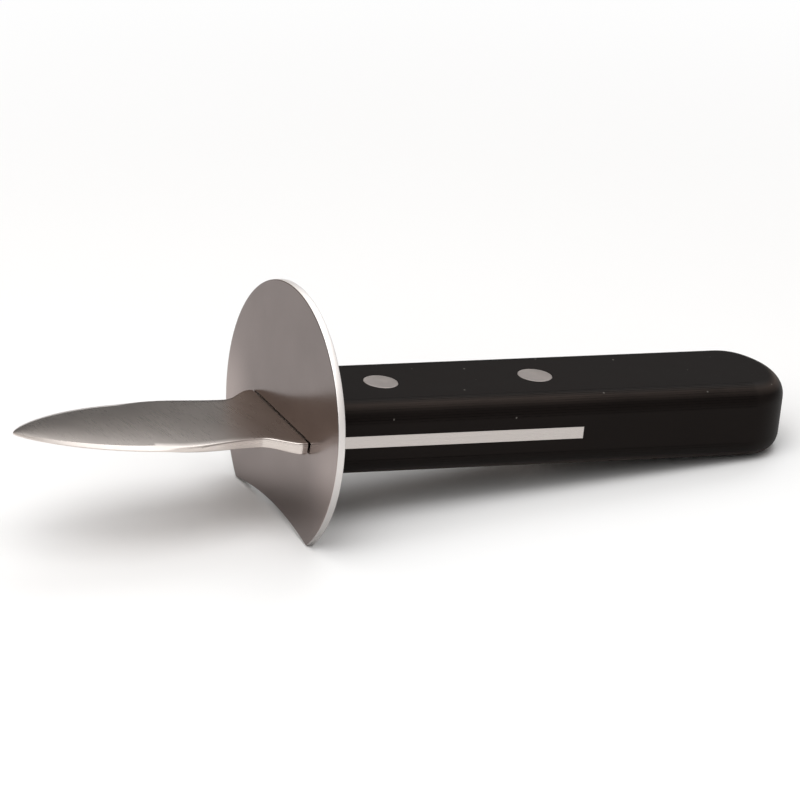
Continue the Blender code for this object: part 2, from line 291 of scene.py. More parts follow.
def finish_piece(bm, name, material, slot, *nodes):
    """Lays the straight bmesh down and adds it as a piece that stands for the CAD nodes."""
    old = bpy.data.objects.get(name)
    if old:
        bpy.data.objects.remove(old, do_unlink=True)
    mesh = bpy.data.meshes.new(name)
    bm.to_mesh(mesh)
    bm.free()
    mesh.transform(LAID)
    mesh.materials.append(material)
    piece = bpy.data.objects.new(name, mesh)
    bpy.context.scene.collection.objects.link(piece)
    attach(piece, "root")
    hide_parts(*nodes)


def box_shape(low, high):
    bm = bmesh.new()
    bmesh.ops.create_cube(bm, size=1.0)
    size = Vector(high) - Vector(low)
    bmesh.ops.scale(bm, vec=size, verts=bm.verts)
    bmesh.ops.translate(bm, vec=(Vector(high) + Vector(low)) / 2.0, verts=bm.verts)
    return bm


def verts_in(items):
    return [item for item in items if isinstance(item, bmesh.types.BMVert)]


def run(edge, axis):
    """How far an edge runs along one axis."""
    first, second = (getattr(vert.co, axis) for vert in edge.verts)
    return abs(first - second)


def rear_x(edge):
    """How far back an edge reaches."""
    return max(vert.co.x for vert in edge.verts)


def swept_arc(bm, start, centre, axis, turn, steps):
    """Sweeps a vertex round a centre into an arc of edges, and returns the arc's last vertex."""
    made = bmesh.ops.spin(bm, geom=[start], cent=centre, axis=axis, angle=turn, steps=steps)
    return verts_in(made["geom_last"])[0]


def draw_out(bm, faces, move, keep):
    """Draws faces out, and keeps a face behind them where asked to."""
    made = bmesh.ops.extrude_face_region(bm, geom=faces, use_keep_orig=keep)
    bmesh.ops.translate(bm, vec=move, verts=verts_in(made["geom"]))


def draw_plate(bm, move):
    """Fills a flat outline with a face and draws it out into a plate."""
    face = bmesh.ops.contextual_create(bm, geom=bm.edges)["faces"]
    draw_out(bm, face, move, keep=True)


def round_edges(bm, edges, radius, steps):
    bmesh.ops.bevel(bm, geom=edges, offset=radius, segments=steps, profile=ROUND_PROFILE, affect="EDGES")


def round_shape(profile, centre_x, steps):
    """A closed shape from a profile of (radius, z) points, turned about the upright line at centre_x."""
    bm = bmesh.new()
    verts = [bm.verts.new((centre_x + radius, 0.0, z)) for radius, z in profile]
    edges = [bm.edges.new(pair) for pair in zip(verts, verts[1:])]
    bmesh.ops.spin(
        bm,
        geom=verts + edges,
        cent=(centre_x, 0.0, 0.0),
        axis=UP,
        angle=2.0 * math.pi,
        steps=steps,
        use_merge=True,
    )
    bmesh.ops.remove_doubles(bm, verts=bm.verts, dist=MERGE_DISTANCE)
    bmesh.ops.recalc_face_normals(bm, faces=bm.faces)
    return bm


# Blade and tang

BLADE_STEPS = 190
FACE_STEPS = 16
ROUND_STEPS = 4
ROWS = FACE_STEPS + 2 * (ROUND_STEPS + 1)
GRID_HALF = 0.5
EDGE_BREAK = 0.06 * MM
FLARE_WAVE_SHARE = 0.9


def mixed(first, second, part):
    """A value on the way from first to second."""
    return first + (second - first) * part


def part_way(start, end, x):
    """How much of the way from start to end lies behind x, from 0 to 1."""
    return min(max((x - start) / (end - start), 0.0), 1.0)


def eased(start, end, x):
    """0 up to start and 1 from end on, level at both."""
    return 0.5 - 0.5 * math.cos(math.pi * part_way(start, end, x))


def leaf_swell(size, x):
    """0 at the tip and 1 from the leaf's widest place on, rising as a parabola."""
    rest = 1.0 - part_way(size.tip_x, size.leaf_widest_x, x)
    return 1.0 - rest * rest


def blade_half_width(size, x):
    """The leaf, less the waist behind it, and a flare that follows most of a half wave to the shoulder."""
    leaf = size.leaf_half_width * leaf_swell(size, x) ** size.leaf_keenness
    waist = (size.leaf_half_width - size.waist_half_width) * eased(size.leaf_widest_x, size.waist_x, x)
    wave = math.pi * FLARE_WAVE_SHARE
    along = part_way(size.waist_x, size.flare_x, x)
    flare = (size.shoulder_half_width - size.waist_half_width) * (1.0 - math.cos(wave * along))
    return leaf - waist + flare / (1.0 - math.cos(wave))


def squareness(size, x):
    """0 where the edge is ground thin, 1 where it is as thick as the blade."""
    return math.sin(0.5 * math.pi * part_way(size.square_start_x, size.square_end_x, x))


def blade_section(size, x):
    """Half width, the bevel crest's y, and the heights of spine, crest and edge over the middle plane."""
    swell = leaf_swell(size, x)
    square = squareness(size, x)
    width = blade_half_width(size, x)
    thin = size.edge_thickness / 2.0
    thickened = eased(size.grinding_end_x, -SHOULDER_GAP, x)
    body = mixed(size.ground_half_thickness, size.half_thickness, thickened)
    spine = mixed(thin, body, math.sqrt(swell))
    fall = size.face_fall * width * (1.0 - eased(size.fall_start_x, size.fall_end_x, x))
    top = max(spine - fall, thin + EDGE_BREAK * swell)
    rounding = size.square_rounding * square
    edge = mixed(thin, top - rounding, square)
    slope = mixed(size.bevel_angle, size.tip_bevel_angle, 1.0 - swell)
    bevel = (top - edge) / math.tan(slope)
    crest = max(width - max(mixed(bevel, rounding, square), EDGE_BREAK), 0.0)
    return width, crest, spine, top, edge


def blade_point(size, x, row):
    """A point of the upper side: rows run up the near bevel or rounding, across the face and down again."""
    width, crest, spine, top, edge = blade_section(size, x)
    thin = size.edge_thickness / 2.0
    if width <= 0.0:
        return 0.0, thin
    step = min(row, ROWS - row)
    if step <= ROUND_STEPS:
        square = squareness(size, x)
        part = step / ROUND_STEPS
        turn = 0.5 * math.pi * part
        level = mixed(part, math.sin(turn), square)
        inward = mixed(part, 1.0 - math.cos(turn), square)
        side = -1.0 if row < ROWS / 2 else 1.0
        return side * mixed(width, crest, inward), mixed(edge, top, level)

    # All along the blade, the face's rows take up the share of its width that the tang has at the root
    across = (row - ROUND_STEPS - 1) / FACE_STEPS * 2.0 - 1.0
    y = across * crest * size.tang_half_width / (size.shoulder_half_width - size.square_rounding)
    return y, mixed(spine, top, (y / crest) ** 2) if crest > 0.0 else thin


def grid_place(size, vert):
    """The x along the blade and the row that a vertex of the flat grid stands for."""
    x = mixed(size.tip_x, -SHOULDER_GAP, vert.co.x + GRID_HALF)
    return x, round((vert.co.y + GRID_HALF) * ROWS)


def blade_shape(size):
    """A grid shaped into the upper side, mirrored and bridged all round, with the tang drawn out behind."""
    bm = bmesh.new()
    bmesh.ops.create_grid(bm, x_segments=BLADE_STEPS, y_segments=ROWS, size=GRID_HALF)
    for edge in bm.edges:
        (x, row), (_, other_row) = (grid_place(size, vert) for vert in edge.verts)
        if x < size.square_start_x and row == other_row and row in (ROUND_STEPS, ROWS - ROUND_STEPS):
            edge.smooth = False
    for vert in bm.verts:
        x, row = grid_place(size, vert)
        vert.co = (x, *blade_point(size, x, row))
    bmesh.ops.mirror(bm, geom=bm.verts[:] + bm.edges[:] + bm.faces[:], axis="Z", merge_dist=NO_MERGE)
    bmesh.ops.bridge_loops(bm, edges=[edge for edge in bm.edges if edge.is_boundary])
    bmesh.ops.remove_doubles(bm, verts=bm.verts, dist=MERGE_DISTANCE)
    bmesh.ops.recalc_face_normals(bm, faces=bm.faces)

    root = []
    for face in bm.faces:
        middle = face.calc_center_median()
        if abs(middle.x + SHOULDER_GAP) < MERGE_DISTANCE and abs(middle.y) < size.tang_half_width:
            root.append(face)
    draw_out(bm, root, (size.tang_end_x + SHOULDER_GAP, 0.0, 0.0), keep=False)
    bmesh.ops.delete(bm, geom=root, context="FACES")
    return bm


# Guard

OVAL_STEPS = 200
ARCH_STEPS = 40


def guard_shape(size):
    """An oval, swept on a unit circle and stretched, that the arch closes, drawn out and rounded."""
    corner = math.asin(size.foot_half_span / size.half_width)
    half_height = (size.top_z - size.foot_z) / (1.0 + math.cos(corner))
    bm = bmesh.new()
    start = bm.verts.new((0.0, math.sin(corner), -math.cos(corner)))
    end = swept_arc(bm, start, (0.0, 0.0, 0.0), ALONG, 2.0 * (math.pi - corner), OVAL_STEPS)
    bmesh.ops.scale(bm, vec=(1.0, size.half_width, half_height), verts=bm.verts)
    bmesh.ops.translate(bm, vec=(0.0, 0.0, size.top_z - half_height), verts=bm.verts)
    radius = (size.foot_half_span**2 + size.arch_rise**2) / (2.0 * size.arch_rise)
    centre = (0.0, 0.0, size.foot_z + size.arch_rise - radius)
    half_turn = math.asin(size.foot_half_span / radius)
    swept_arc(bm, end, centre, ALONG, -2.0 * half_turn, ARCH_STEPS)
    bmesh.ops.remove_doubles(bm, verts=bm.verts, dist=MERGE_DISTANCE)

    draw_plate(bm, (size.thickness, 0.0, 0.0))
    rims = [edge for edge in bm.edges if run(edge, "x") < size.edge_radius]
    round_edges(bm, rims, size.edge_radius, SMALL_ROUNDING_STEPS)
    return bm


def guard_slot(guard, blade):
    """The slot that the tang passes through, with small round corners, as a cutter."""
    side = blade.tang_half_width + SIDE_GAP
    rise = blade.half_thickness + SLOT_GAP
    low = (-CUTTER_REACH, -side, -rise)
    bm = box_shape(low, (guard.thickness + CUTTER_REACH, side, rise))
    corners = [edge for edge in bm.edges if run(edge, "x") > guard.thickness]
    round_edges(bm, corners, SLOT_GAP, SMALL_ROUNDING_STEPS)
    return bm


# Handle

CORNER_STEPS = 20
HANDLE_EDGE_STEPS = 12
FLAT_MARGIN = 0.5 * MM

# A face of the block looks endwise from this share of its normal along the handle on
LOOKS_ENDWISE = 0.5


def handle_outline(bm, size, front_x):
    """The block from above: a straight front, parallel sides and a bowed end with round corners."""
    end_x = size.end_x - size.end_radius
    corner_y = size.half_width - size.corner_radius
    between = size.end_radius - size.corner_radius
    corner_x = end_x + math.sqrt(between**2 - corner_y**2)
    bow_turn = math.asin(corner_y / between)
    corner_turn = math.pi / 2.0 - bow_turn
    floor = -size.half_thickness
    near_front = bm.verts.new((front_x, -size.half_width, floor))
    far_front = bm.verts.new((front_x, size.half_width, floor))
    near_side = bm.verts.new((corner_x, -size.half_width, floor))
    near_end = swept_arc(bm, near_side, (corner_x, -corner_y, floor), UP, corner_turn, CORNER_STEPS)
    far_end = swept_arc(bm, near_end, (end_x, 0.0, floor), UP, 2.0 * bow_turn, CORNER_STEPS)
    far_side = swept_arc(bm, far_end, (corner_x, corner_y, floor), UP, corner_turn, CORNER_STEPS)
    for pair in ((far_side, far_front), (far_front, near_front), (near_front, near_side)):
        bm.edges.new(pair)


def handle_shape(size, front_x):
    """A block with rounded long edges, a bowed butt and a square front with its edges broken."""
    bm = bmesh.new()
    handle_outline(bm, size, front_x)
    draw_plate(bm, (0.0, 0.0, 2.0 * size.half_thickness))
    behind_x = front_x + size.front_break
    level = [edge for edge in bm.edges if run(edge, "z") < size.half_thickness]
    behind = [edge for edge in level if rear_x(edge) > behind_x]
    round_edges(bm, behind, size.edge_radius, HANDLE_EDGE_STEPS)
    front = [edge for edge in bm.edges if rear_x(edge) < behind_x]
    round_edges(bm, front, size.front_break, SMALL_ROUNDING_STEPS)

    # The large flat faces get a margin, so that the rounded edges beside them don't shade them
    bm.normal_update()
    long_faces = [face for face in bm.faces if abs(face.normal.x) < LOOKS_ENDWISE]
    flats = [face for face in long_faces if face.calc_area() > size.edge_radius**2]
    bmesh.ops.inset_individual(bm, faces=flats, thickness=FLAT_MARGIN, depth=0.0)
    return bm


def handle_slot(size, blade):
    """The slot for the tang, open at the front and at both sides, as a cutter."""
    side = size.half_width + CUTTER_REACH
    rise = blade.half_thickness + SEAT_GAP
    return box_shape((-CUTTER_REACH, -side, -rise), (blade.tang_end_x + SEAT_GAP, side, rise))


# Rivets

RIVET_STEPS = 72
ARC_MIDDLE = 0.3


def rivet_holes(rivets, handle):
    """The two stepped holes for the rivets, through handle and tang, as cutters."""
    hole = rivets.sleeve_radius + SEAT_GAP
    counterbore = rivets.head_radius + SEAT_GAP
    top = handle.half_thickness + CUTTER_REACH
    seat = handle.half_thickness - rivets.head_thickness - SEAT_GAP
    profile = [
        (0.0, top), (counterbore, top), (counterbore, seat), (hole, seat),
        (hole, -seat), (counterbore, -seat), (counterbore, -top), (0.0, -top),
    ]
    return [round_shape(profile, centre_x, RIVET_STEPS) for centre_x in (rivets.front_x, rivets.rear_x)]


def broken_rim(size, level, inward):
    """Three points over a head's rim, from its face at this level to its side, inward being 1 or -1."""
    middle = ARC_MIDDLE * size.head_break
    return [
        (size.head_radius - size.head_break, level),
        (size.head_radius - middle, level + inward * middle),
        (size.head_radius, level + inward * size.head_break),
    ]


def post_profile(size, top):
    """The upper half: a flush head with a broken rim and a solid pin."""
    floor = top - size.head_thickness
    tip = size.head_thickness + SEAT_GAP - top
    return [
        (0.0, top),
        *broken_rim(size, top, -1.0),
        (size.head_radius, floor),
        (size.post_radius, floor),
        (size.post_radius, tip),
        (0.0, tip),
    ]


def sleeve_profile(size, top):
    """The lower half: a flush head with a broken rim and a tube that takes the pin."""
    floor = -top
    head_top = floor + size.head_thickness
    rim = top - size.head_thickness - SEAT_GAP
    bore = size.post_radius + SEAT_GAP
    return [
        (0.0, head_top),
        (bore, head_top),
        (bore, rim),
        (size.sleeve_radius, rim),
        (size.sleeve_radius, head_top),
        (size.head_radius, head_top),
        *reversed(broken_rim(size, floor, 1.0)),
        (0.0, floor),
    ]


# Shader node helpers

def add_node(tree, kind, **settings):
    node = tree.nodes.new(kind)
    for name, value in settings.items():
        setattr(node, name, value)
    return node


def connect(tree, entry, source):
    """Links an input to a socket, or sets it to a plain value."""
    if isinstance(source, bpy.types.NodeSocket):
        tree.links.new(source, entry)
    elif entry.type == "RGBA":
        entry.default_value = (*source, 1.0)
    else:
        entry.default_value = source


def feed(tree, node, **sources):
    """Connects a node's inputs by name, with an underscore for each space."""
    for name, source in sources.items():
        connect(tree, node.inputs[name.replace("_", " ")], source)


def calculated(tree, operation, *values):
    """The result of a math node."""
    node = add_node(tree, "ShaderNodeMath", operation=operation)
    for entry, value in zip(node.inputs, values):
        connect(tree, entry, value)
    return node.outputs["Value"]


def vector_math(tree, operation, vectors):
    node = add_node(tree, "ShaderNodeVectorMath", operation=operation)
    for entry, vector in zip(node.inputs, vectors):
        connect(tree, entry, vector)
    return node


def vector_result(tree, operation, *vectors):
    """The result of a vector math node that gives a vector."""
    return vector_math(tree, operation, vectors).outputs["Vector"]


def vector_measure(tree, operation, *vectors):
    """The result of a vector math node that gives a number."""
    return vector_math(tree, operation, vectors).outputs["Value"]


def coordinate(tree, vector, axis):
    parts = add_node(tree, "ShaderNodeSeparateXYZ")
    feed(tree, parts, Vector=vector)
    return parts.outputs[axis]


def scaled(tree, value, low, high):
    """A value from 0 to 1 spread from low to high."""
    node = add_node(tree, "ShaderNodeMapRange")
    feed(tree, node, Value=value, To_Min=low, To_Max=high)
    return node.outputs["Result"]


def ramped(tree, value, start, end, kind="LINEAR"):
    """0 up to the value start and 1 from the value end on."""
    node = add_node(tree, "ShaderNodeMapRange", interpolation_type=kind)
    feed(tree, node, Value=value, From_Min=start, From_Max=end)
    return node.outputs["Result"]


def blended(tree, mask, first, second, kind="MIX"):
    """A colour from first to second by the mask, each a plain value or a socket."""
    node = add_node(tree, "ShaderNodeMix", data_type="RGBA", blend_type=kind)
    first_entry, second_entry = (item for item in node.inputs if item.type == "RGBA")
    connect(tree, node.inputs["Factor"], mask)
    connect(tree, first_entry, first)
    connect(tree, second_entry, second)
    return next(item for item in node.outputs if item.type == "RGBA")


def grey(tone):
    return (tone, tone, tone)


def shaded(plain, factor):
    """A plain colour made darker or lighter."""
    return tuple(min(part * factor, 1.0) for part in plain)


def toned(tree, mask, plain, factors):
    """A plain colour times the first factor where the mask is 0, and times the second where it is 1."""
    return blended(tree, mask, *(shaded(plain, factor) for factor in factors))


def add_bump(tree, shader, height, strength, distance):
    bump = add_node(tree, "ShaderNodeBump")
    feed(tree, bump, Height=height, Strength=strength, Distance=distance)
    feed(tree, shader, Normal=bump.outputs["Normal"])


def new_material(name):
    """A material with its shader, and the knife's own axes as a vector for its patterns."""
    material = bpy.data.materials.get(name)
    if material:
        bpy.data.materials.remove(material)
    material = bpy.data.materials.new(name)
    material.use_nodes = True
    tree = material.node_tree
    coordinates = add_node(tree, "ShaderNodeTexCoord")
    mapping = add_node(tree, "ShaderNodeMapping", vector_type="TEXTURE")
    feed(tree, mapping, Vector=coordinates.outputs["Object"])
    feed(tree, mapping, Location=LAID.translation, Rotation=LAID.to_euler())
    return material, tree, tree.nodes["Principled BSDF"], mapping.outputs["Vector"]


def facing_mask(tree, direction, low, high):
    """1 where a surface turns its side to the direction, 0 where it faces along it."""
    normal = add_node(tree, "ShaderNodeTexCoord").outputs["Normal"]
    facing = vector_measure(tree, "DOT_PRODUCT", normal, LAID.to_3x3() @ Vector(direction))
    return ramped(tree, calculated(tree, "ABSOLUTE", facing), high, low)


# Effects that several finishes share, each a node group that gives one tone from 0 to 1

NOISE_RANGE = (0.3, 0.7)


def noise_tone(tree, vector, **values):
    """A noise whose middle tones are spread from 0 to 1."""
    noise = add_node(tree, "ShaderNodeTexNoise")
    feed(tree, noise, Vector=vector, **values)
    return ramped(tree, noise.outputs["Fac"], *NOISE_RANGE)


def scratch_tone(tree, given):
    """Fine parallel scratches: a noise stretched along one direction in the plate's plane."""
    turned = add_node(tree, "ShaderNodeVectorRotate", rotation_type="Z_AXIS")
    feed(tree, turned, Vector=given["Vector"], Angle=given["Angle"])
    along = calculated(tree, "DIVIDE", given["Density"], given["Length"])
    stretch = add_node(tree, "ShaderNodeCombineXYZ")
    feed(tree, stretch, X=along, Y=given["Density"], Z=given["Density"])
    stretched = vector_result(tree, "MULTIPLY", turned.outputs["Vector"], stretch.outputs["Vector"])
    return noise_tone(tree, stretched, Scale=1.0, Detail=3.0, Roughness=0.6)


def cloud_tone(tree, given):
    """Broad soft patches, for the slow change of tone across a surface."""
    return noise_tone(tree, given["Vector"], Scale=given["Scale"], Detail=4.0, Roughness=0.55)


def speck_tone(tree, given):
    """Small specks: the middles of cells, in as large a share of the cells as a random number picks."""
    cells = add_node(tree, "ShaderNodeTexVoronoi")
    feed(tree, cells, Vector=given["Vector"], Scale=given["Scale"])
    random = add_node(tree, "ShaderNodeSeparateColor")
    feed(tree, random, Color=cells.outputs["Color"])
    near = calculated(tree, "LESS_THAN", cells.outputs["Distance"], given["Size"])
    picked = calculated(tree, "LESS_THAN", random.outputs["Red"], given["Share"])
    return calculated(tree, "MULTIPLY", near, picked)


SCRATCHES = ("Scratches", scratch_tone, {"Angle": 0.0, "Density": 3000.0, "Length": 20.0})
CLOUDS = ("Clouds", cloud_tone, {"Scale": 60.0})
SPECKS = ("Specks", speck_tone, {"Scale": 200.0, "Size": 0.1, "Share": 0.1})


def new_group(name, pattern, defaults):
    """A node group whose pattern takes a vector and values with these defaults."""
    tree = bpy.data.node_groups.new(name, "ShaderNodeTree")
    tree.interface.new_socket(name="Vector", in_out="INPUT", socket_type="NodeSocketVector")
    for value, default in defaults.items():
        entry = tree.interface.new_socket(name=value, in_out="INPUT", socket_type="NodeSocketFloat")
        entry.default_value = default
    tree.interface.new_socket(name="Tone", in_out="OUTPUT", socket_type="NodeSocketFloat")
    given = add_node(tree, "NodeGroupInput").outputs
    feed(tree, add_node(tree, "NodeGroupOutput"), Tone=pattern(tree, given))
    return tree


def effect(tree, kind, vector, **values):
    """The tone that a shared effect has at a vector. Its node group is made when it is first used."""
    name, pattern, defaults = kind
    group = bpy.data.node_groups.get(name) or new_group(name, pattern, defaults)
    node = add_node(tree, "ShaderNodeGroup", node_tree=group)
    feed(tree, node, Vector=vector, **values)
    return node.outputs["Tone"]


# Blade finish

BLADE_SIDE_FACING = (0.25, 0.55)
BLADE_TONES = (0.95, 1.05)
BLADE_ROUGHNESS = (0.26, 0.30)
BLADE_BUMP = (0.03, 0.008 * MM)
UNSCRATCHED_TONE = 0.5
SMUDGE_STRENGTH = 0.38
SMUDGE_TONE = 0.6
EDGE_MARK_STRENGTH = 0.10
EDGE_MARK_TONE = 0.7
TANG_COLOUR_X = 1.6 * MM


def ground_steel(size):
    """Cross-ground faces with fine slanting scratches, and edges with marks that run along them."""
    material, tree, shader, vector = new_material("ground_steel")
    slanting = effect(tree, SCRATCHES, vector, Angle=math.radians(82), Density=4200.0, Length=22.0)
    marks = effect(tree, SCRATCHES, vector, Angle=math.radians(72), Density=480.0, Length=4.0)
    without_y = vector_result(tree, "MULTIPLY", vector, (1.0, 0.0, 1.0))
    along = effect(tree, SCRATCHES, without_y, Density=2600.0, Length=60.0)
    clouds = effect(tree, CLOUDS, vector, Scale=90.0)
    patches = effect(tree, CLOUDS, vector, Scale=170.0)
    side = facing_mask(tree, UP, *BLADE_SIDE_FACING)
    on_tang = ramped(tree, coordinate(tree, vector, "X"), 0.0, TANG_COLOUR_X)

    face = toned(tree, clouds, size.face_colour, BLADE_TONES)
    smudges = calculated(tree, "MULTIPLY", marks, scaled(tree, patches, 0.0, SMUDGE_STRENGTH))
    face = blended(tree, smudges, face, shaded(size.face_colour, SMUDGE_TONE))
    edge = blended(tree, on_tang, size.edge_colour, size.tang_colour)
    edge_marks = scaled(tree, along, 0.0, EDGE_MARK_STRENGTH)
    edge = blended(tree, edge_marks, edge, shaded(size.tang_colour, EDGE_MARK_TONE))
    face_scratches = blended(tree, clouds, grey(UNSCRATCHED_TONE), slanting)
    scratches = blended(tree, side, face_scratches, along)
    feed(tree, shader, Base_Color=blended(tree, side, face, edge), Metallic=1.0)
    feed(tree, shader, Roughness=scaled(tree, scratches, *BLADE_ROUGHNESS))
    add_bump(tree, shader, scratches, *BLADE_BUMP)
    return material


# Guard finish

GUARD_SIDE_FACING = (0.4, 0.8)
GUARD_TONES = (0.86, 1.10)
GUARD_ROUGHNESS = (0.16, 0.24)
GUARD_GLANCING_TINT = 0.75
GUARD_BUMP = (0.15, 0.006 * MM)
# Two soft patches of painted highlight on the face, beside the rim
HIGHLIGHT_PATCH_REACH = 17.0 * MM
HIGHLIGHT_PATCH_DROP = 4.0 * MM
HIGHLIGHT_PATCH_GAIN = 1.8
RIM_ROUGHNESS = 0.55
# Painted shade: the rim darkens from above the middle down towards the foot
RIM_SHADE_FACTOR = 0.52
RIM_SHADE_START_Z = 10.0 * MM
RIM_SHADE_END_Z = -10.0 * MM


def highlight_patch_mask(tree, vector, size):
    """1 in the middle of two soft patches of painted highlight, a little below the tang's level, on the rim
    at either side.
    """
    raised = vector_result(tree, "ADD", vector, (0.0, 0.0, HIGHLIGHT_PATCH_DROP))
    beside = vector_result(tree, "ABSOLUTE", raised)
    distance = vector_measure(tree, "DISTANCE", beside, (0.0, size.half_width, 0.0))
    return ramped(tree, distance, HIGHLIGHT_PATCH_REACH, 0.0, "SMOOTHSTEP")


def guard_steel(size):
    """A satin plate with faint upright brushing, painted darker as shade, with two patches of painted
    highlight and a rim painted bright that darkens downwards as painted shade.
    """
    material, tree, shader, vector = new_material("guard_steel")
    upright = add_node(tree, "ShaderNodeVectorRotate", rotation_type="Y_AXIS")
    feed(tree, upright, Vector=vector, Angle=math.radians(90))
    brushing = effect(tree, SCRATCHES, upright.outputs["Vector"], Density=5200.0, Length=40.0)
    clouds = effect(tree, CLOUDS, vector, Scale=34.0)
    side = facing_mask(tree, ALONG, *GUARD_SIDE_FACING)
    # Painted shade on the rim, growing towards the foot
    low = ramped(tree, coordinate(tree, vector, "Z"), RIM_SHADE_START_Z, RIM_SHADE_END_Z, "SMOOTHSTEP")

    face = toned(tree, clouds, size.face_colour, GUARD_TONES)
    # Painted highlight: two soft patches lighter than the rest of the face
    face = blended(tree, highlight_patch_mask(tree, vector, size), face, shaded(size.face_colour, HIGHLIGHT_PATCH_GAIN))
    rim = blended(tree, low, size.rim_highlight_colour, shaded(size.rim_highlight_colour, RIM_SHADE_FACTOR))
    sheen = blended(tree, side, scaled(tree, brushing, *GUARD_ROUGHNESS), grey(RIM_ROUGHNESS))
    feed(tree, shader, Base_Color=blended(tree, side, face, rim), Metallic=1.0)
    feed(tree, shader, Roughness=sheen, Specular_Tint=grey(GUARD_GLANCING_TINT))
    add_bump(tree, shader, brushing, *GUARD_BUMP)
    return material


# Rivet finish

RIVET_TONES = (0.90, 1.08)
RIVET_ROUGHNESS = (0.30, 0.42)
RIVET_BUMP = (0.3, 0.01 * MM)


def rivet_steel(size):
    """Heads ground level with the handle, with fine scratches along it."""
    material, tree, shader, vector = new_material("rivet_steel")
    scratches = effect(tree, SCRATCHES, vector, Density=4600.0, Length=18.0)
    clouds = effect(tree, CLOUDS, vector, Scale=260.0)
    feed(tree, shader, Base_Color=toned(tree, clouds, size.colour, RIVET_TONES), Metallic=1.0)
    feed(tree, shader, Roughness=scaled(tree, scratches, *RIVET_ROUGHNESS))
    add_bump(tree, shader, scratches, *RIVET_BUMP)
    return material


# Handle finish

# How squarely the ridge faces up: its painted highlight is strongest at the middle value, and absent past
# the others
RIDGE_TOP_FACING = 0.99
RIDGE_MIDDLE_FACING = 0.86
RIDGE_FOOT_FACING = 0.55

# Painted highlight along the ridge, spread by soft patches, and brighter towards the butt
RIDGE_HIGHLIGHT_SPREAD = (0.55, 1.20)
BUTT_HIGHLIGHT_LENGTH = 10.0 * MM
BUTT_HIGHLIGHT_GAIN = 2.4
HANDLE_TONES = (0.88, 1.12)
HANDLE_ROUGHNESS = (0.46, 0.54)
HANDLE_SHINE = 0.085
HANDLE_SHINE_TINT = (1.0, 0.90, 0.84)
GRAIN_BUMP = (0.35, 0.012 * MM)
DUST_COLOUR = (0.13, 0.12, 0.11)


def black_plastic(size):
    """Satin moulded black: faint grain, a painted highlight along the long edges and brighter at the butt,
    a few specks of dust.
    """
    material, tree, shader, vector = new_material("black_plastic")
    clouds = effect(tree, CLOUDS, vector, Scale=55.0)
    dust = effect(tree, SPECKS, vector, Scale=230.0, Size=0.05, Share=0.75)
    grain = add_node(tree, "ShaderNodeTexNoise")
    feed(tree, grain, Vector=vector, Scale=2600.0, Detail=2.0, Roughness=0.5)
    below_top = facing_mask(tree, UP, RIDGE_MIDDLE_FACING, RIDGE_TOP_FACING)
    below_middle = facing_mask(tree, UP, RIDGE_FOOT_FACING, RIDGE_MIDDLE_FACING)
    ridge = calculated(tree, "SUBTRACT", below_top, below_middle)
    ridge_highlight = calculated(tree, "MULTIPLY", ridge, scaled(tree, clouds, *RIDGE_HIGHLIGHT_SPREAD))
    # Painted highlight over the ridge, brightening towards the butt
    butt_highlight_start = size.end_x - BUTT_HIGHLIGHT_LENGTH
    butt = ramped(tree, coordinate(tree, vector, "X"), butt_highlight_start, size.end_x, "SMOOTHSTEP")

    edge = blended(tree, butt, size.edge_colour, shaded(size.edge_colour, BUTT_HIGHLIGHT_GAIN))
    body = toned(tree, clouds, size.colour, HANDLE_TONES)
    body = blended(tree, ridge_highlight, body, edge)
    feed(tree, shader, Base_Color=blended(tree, dust, body, DUST_COLOUR))
    feed(tree, shader, Roughness=scaled(tree, clouds, *HANDLE_ROUGHNESS))
    feed(tree, shader, Specular_IOR_Level=HANDLE_SHINE, Specular_Tint=HANDLE_SHINE_TINT)
    add_bump(tree, shader, grain.outputs["Fac"], *GRAIN_BUMP)
    return material


# Stage

CAMERA_PLACE = (-0.59127, -1.37829, 0.64651)
CAMERA_TURN_DEGREES = (67.332, -0.653, -22.932)
LENS_MM = 360.0
CLIP_START = 10.0 * MM
KEY_DIRECTION = (-0.05, -0.2, 0.95)
FILL_DIRECTION = (-0.6, -0.4, 0.68)
BOX_DISTANCE = 1.1
FLOOR_STEPS = 96
FLOOR_TONES = (0.99, 1.0)
FLOOR_ROUGHNESS = 0.9
BACKGROUND_START = 0.15
BACKGROUND_FULL = 0.34

# The room's tones, each with its place on the way from level to straight along ROOM_UP
ROOM_UP = (0.088, 0.204, 0.975)
ROOM_TONES = ((0.0, 0.04), (0.17, 0.05), (0.30, 0.085), (0.5, 0.085), (0.64, 0.34), (0.9, 0.80))

# Each card's direction, the cosines of the angles where it starts and where it is full, and its light
BACK_CARD = ((-0.363, 0.848, 0.385), 0.88, 0.97, (0.46, 0.37, 0.31))
FRONT_CARD = ((0.2, -0.70, 0.68), 0.74, 0.94, (0.50, 0.49, 0.48))
SIDE_CARD = ((0.455, 0.52, 0.72), 0.94, 0.984, (1.80, 1.86, 1.90))


def seen_background(tree, position):
    """1 far from the knife, for the rays of the camera, of reflections and through clear pieces."""
    away = vector_measure(tree, "LENGTH", position)
    far = ramped(tree, away, BACKGROUND_START, BACKGROUND_FULL, "SMOOTHSTEP")
    path = add_node(tree, "ShaderNodeLightPath")
    seen = path.outputs["Is Camera Ray"]
    for ray in ("Is Glossy Ray", "Is Transmission Ray"):
        seen = calculated(tree, "MAXIMUM", seen, path.outputs[ray])
    return calculated(tree, "MULTIPLY", seen, far)


